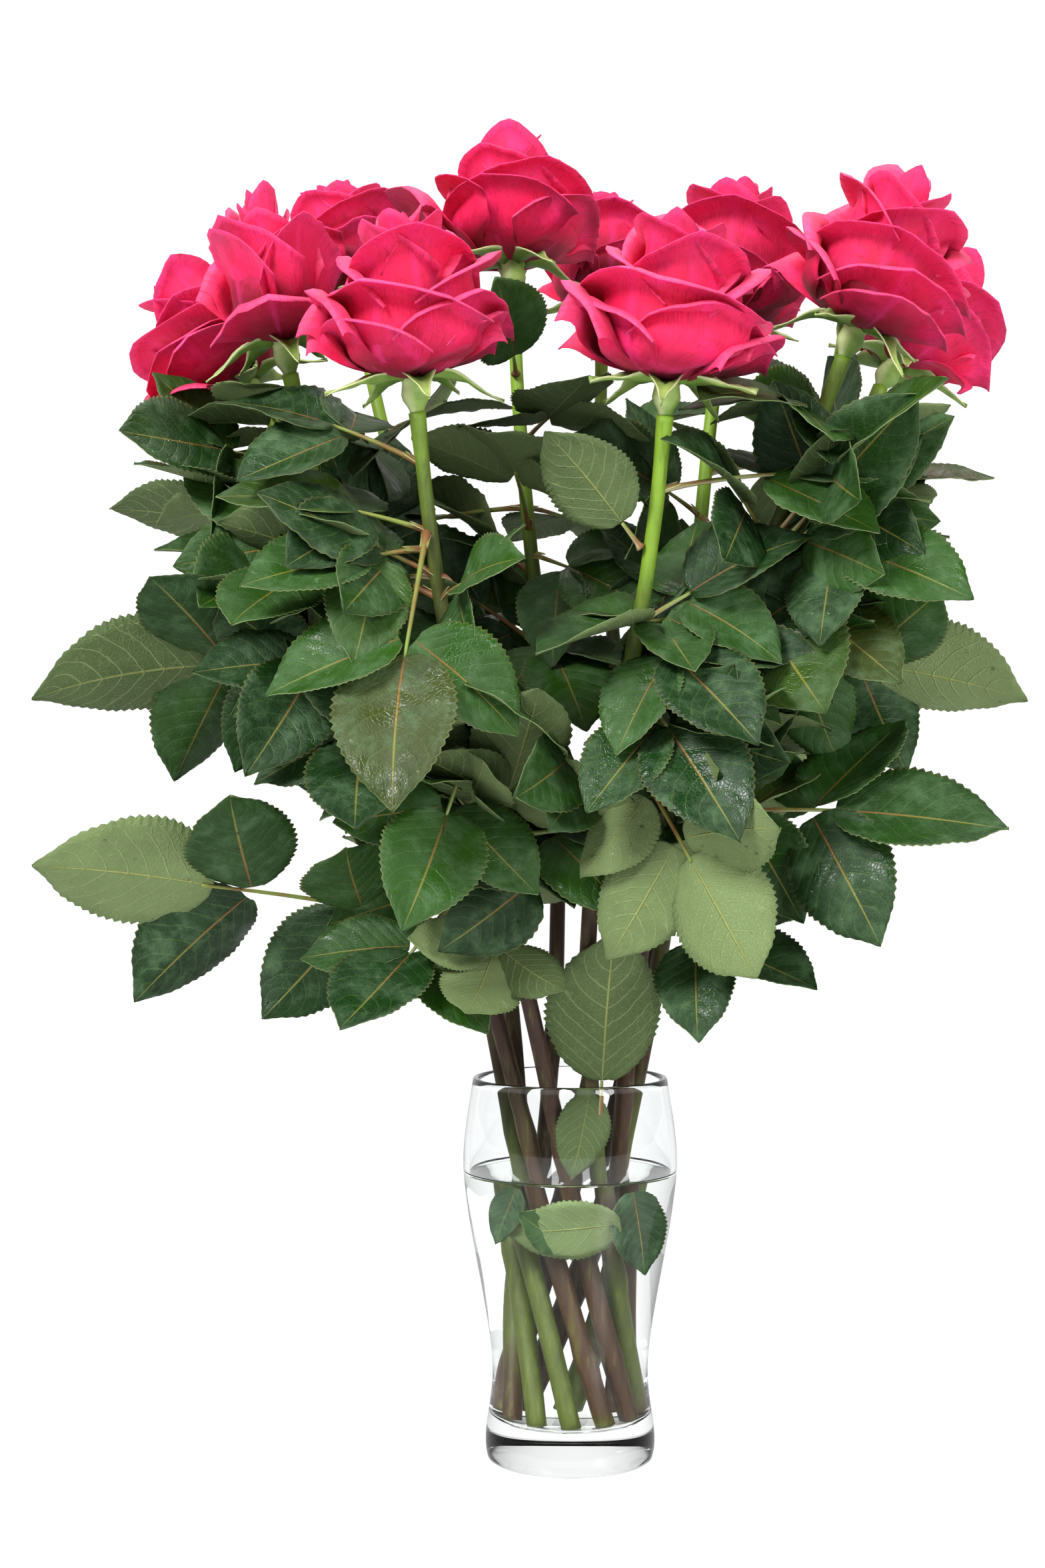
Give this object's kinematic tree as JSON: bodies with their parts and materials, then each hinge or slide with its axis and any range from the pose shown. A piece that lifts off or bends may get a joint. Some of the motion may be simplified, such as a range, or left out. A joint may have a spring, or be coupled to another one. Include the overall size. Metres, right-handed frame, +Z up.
{
  "type": "roses in a glass vase",
  "caption": "Bunch of crimson-pink garden roses with serrated leaves, standing in water in a clear tulip-shaped glass.",
  "frame": {"origin": "the middle of the flat underside of the glass, on the surface that it stands on", "axes": "+Z up along the glass's axis; the front of the bunch looks along -Y, and +X is to the right of someone who faces the front"},
  "size_m": [0.4228, 0.3018, 0.5707],
  "materials": {
    "clear_glass": "clear, smooth, colourless pressed glass with a thick base",
    "water": "clear still water, very slightly green from the stems",
    "stem": "smooth green bark with a dull sheen, browner and woodier towards the foot",
    "sepal": "pale green, downy, with cream edges",
    "petal": "velvety crimson pink with fine veins, paler and bluer on the rolled edges",
    "leaf": "dark green with a low gloss above, pale matt sage green underneath"
  },
  "bodies": {
    "root": {"bloom_back_left": "petal", "bloom_back_right": "petal", "bloom_far_left": "petal", "bloom_far_right": "petal", "bloom_front_left": "petal", "bloom_front_right": "petal", "bloom_inner_right": "petal", "bloom_left_bud": "petal", "bloom_right": "petal", "bloom_top": "petal", "calyx_back_left": "sepal", "calyx_back_right": "sepal", "calyx_far_left": "sepal", "calyx_far_right": "sepal", "calyx_front_left": "sepal", "calyx_front_right": "sepal", "calyx_inner_right": "sepal", "calyx_left_bud": "sepal", "calyx_right": "sepal", "calyx_top": "sepal", "leaf_five_back_high": "leaf", "leaf_five_back_low": "leaf", "leaf_five_back_mid": "leaf", "leaf_five_back_right": "leaf", "leaf_five_front_fold": "leaf", "leaf_five_left_tip": "leaf", "leaf_five_low_left": "leaf", "leaf_five_low_right": "leaf", "leaf_five_right_pale": "leaf", "leaf_one_centre_bract": "leaf", "leaf_one_front_bract": "leaf", "leaf_one_mouth_upright": "leaf", "leaf_one_sunk_green": "leaf", "leaf_one_sunk_pale": "leaf", "leaf_three_centre_olive": "leaf", "leaf_three_front_dark": "leaf", "leaf_three_front_hanging": "leaf", "leaf_three_front_side": "leaf", "leaf_three_front_swept": "leaf", "leaf_three_left_glossy": "leaf", "leaf_three_left_high": "leaf", "leaf_three_left_olive": "leaf", "leaf_three_low_left_inner": "leaf", "leaf_three_low_pale": "leaf", "leaf_three_low_right_inner": "leaf", "leaf_three_right_bright": "leaf", "leaf_three_right_high": "leaf", "leaf_three_right_mid": "leaf", "stem_back_left": "stem", "stem_back_right": "stem", "stem_far_left": "stem", "stem_far_right": "stem", "stem_front_left": "stem", "stem_front_right": "stem", "stem_inner_right": "stem", "stem_left_bud": "stem", "stem_right": "stem", "stem_top": "stem", "vase": "clear_glass", "water": "water"}
  },
  "joints": []
}
